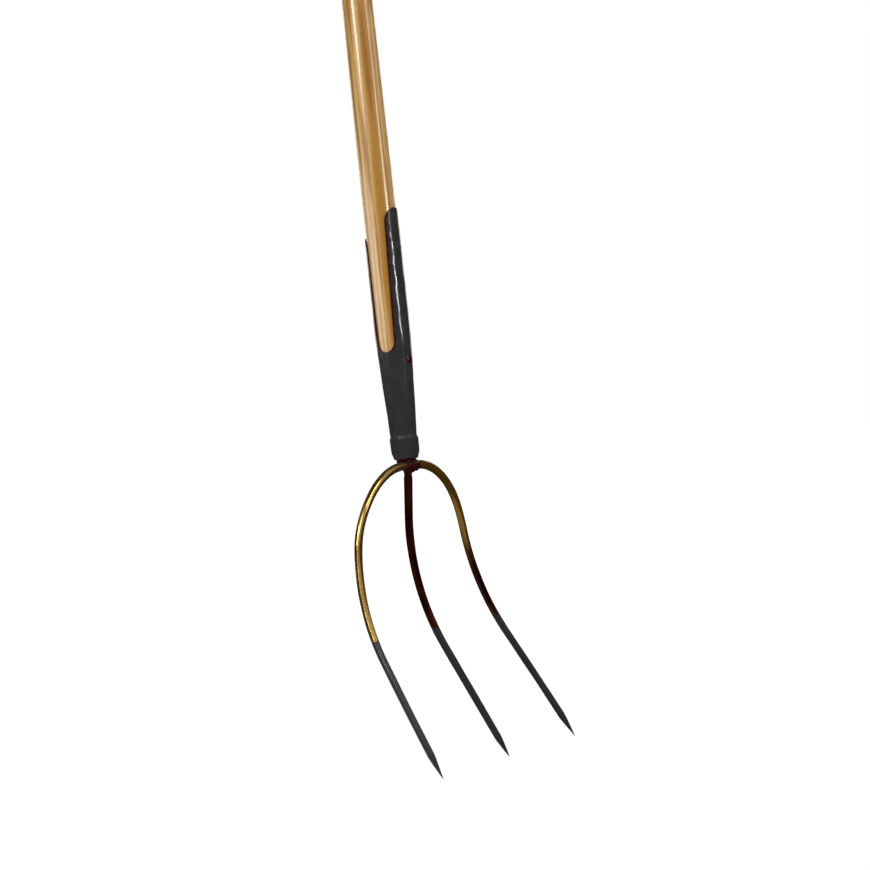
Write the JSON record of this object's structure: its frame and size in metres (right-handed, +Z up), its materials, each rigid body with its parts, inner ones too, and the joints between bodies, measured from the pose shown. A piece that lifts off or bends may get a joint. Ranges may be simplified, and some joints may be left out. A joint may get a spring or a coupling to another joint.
{
  "type": "pitchfork",
  "caption": "Long-handled hay fork with round curved tines on a welded crown and a sheet-steel socket whose straps are riveted to a wooden handle.",
  "frame": {"origin": "on the handle's axis at the crown, level with the roots of the outer tines, where the fork's arches hang on a peg", "axes": "+Z up along the handle towards its grip end, X across the tines, and the tines bend forward towards -Y"},
  "size_m": [0.2492, 0.0931, 1.6357],
  "materials": {
    "ash_wood": "turned ash under clear gloss lacquer",
    "black_paint": "charcoal dip paint, semi-gloss, on pressed sheet steel",
    "brown_lacquer": "transparent golden-brown lacquer on drawn spring steel, lower halves dipped in charcoal paint",
    "weld_metal": "rough weld metal under brown lacquer",
    "rivet_steel": "formed rivet heads, painted over"
  },
  "bodies": {
    "root": {"handle": "ash_wood", "strap_socket": "black_paint", "end_ring": "black_paint", "centre_tine": "brown_lacquer", "left_tine": "brown_lacquer", "right_tine": "brown_lacquer", "left_weld": "weld_metal", "right_weld": "weld_metal", "upper_rivet": "rivet_steel", "lower_rivet": "rivet_steel"}
  },
  "joints": []
}
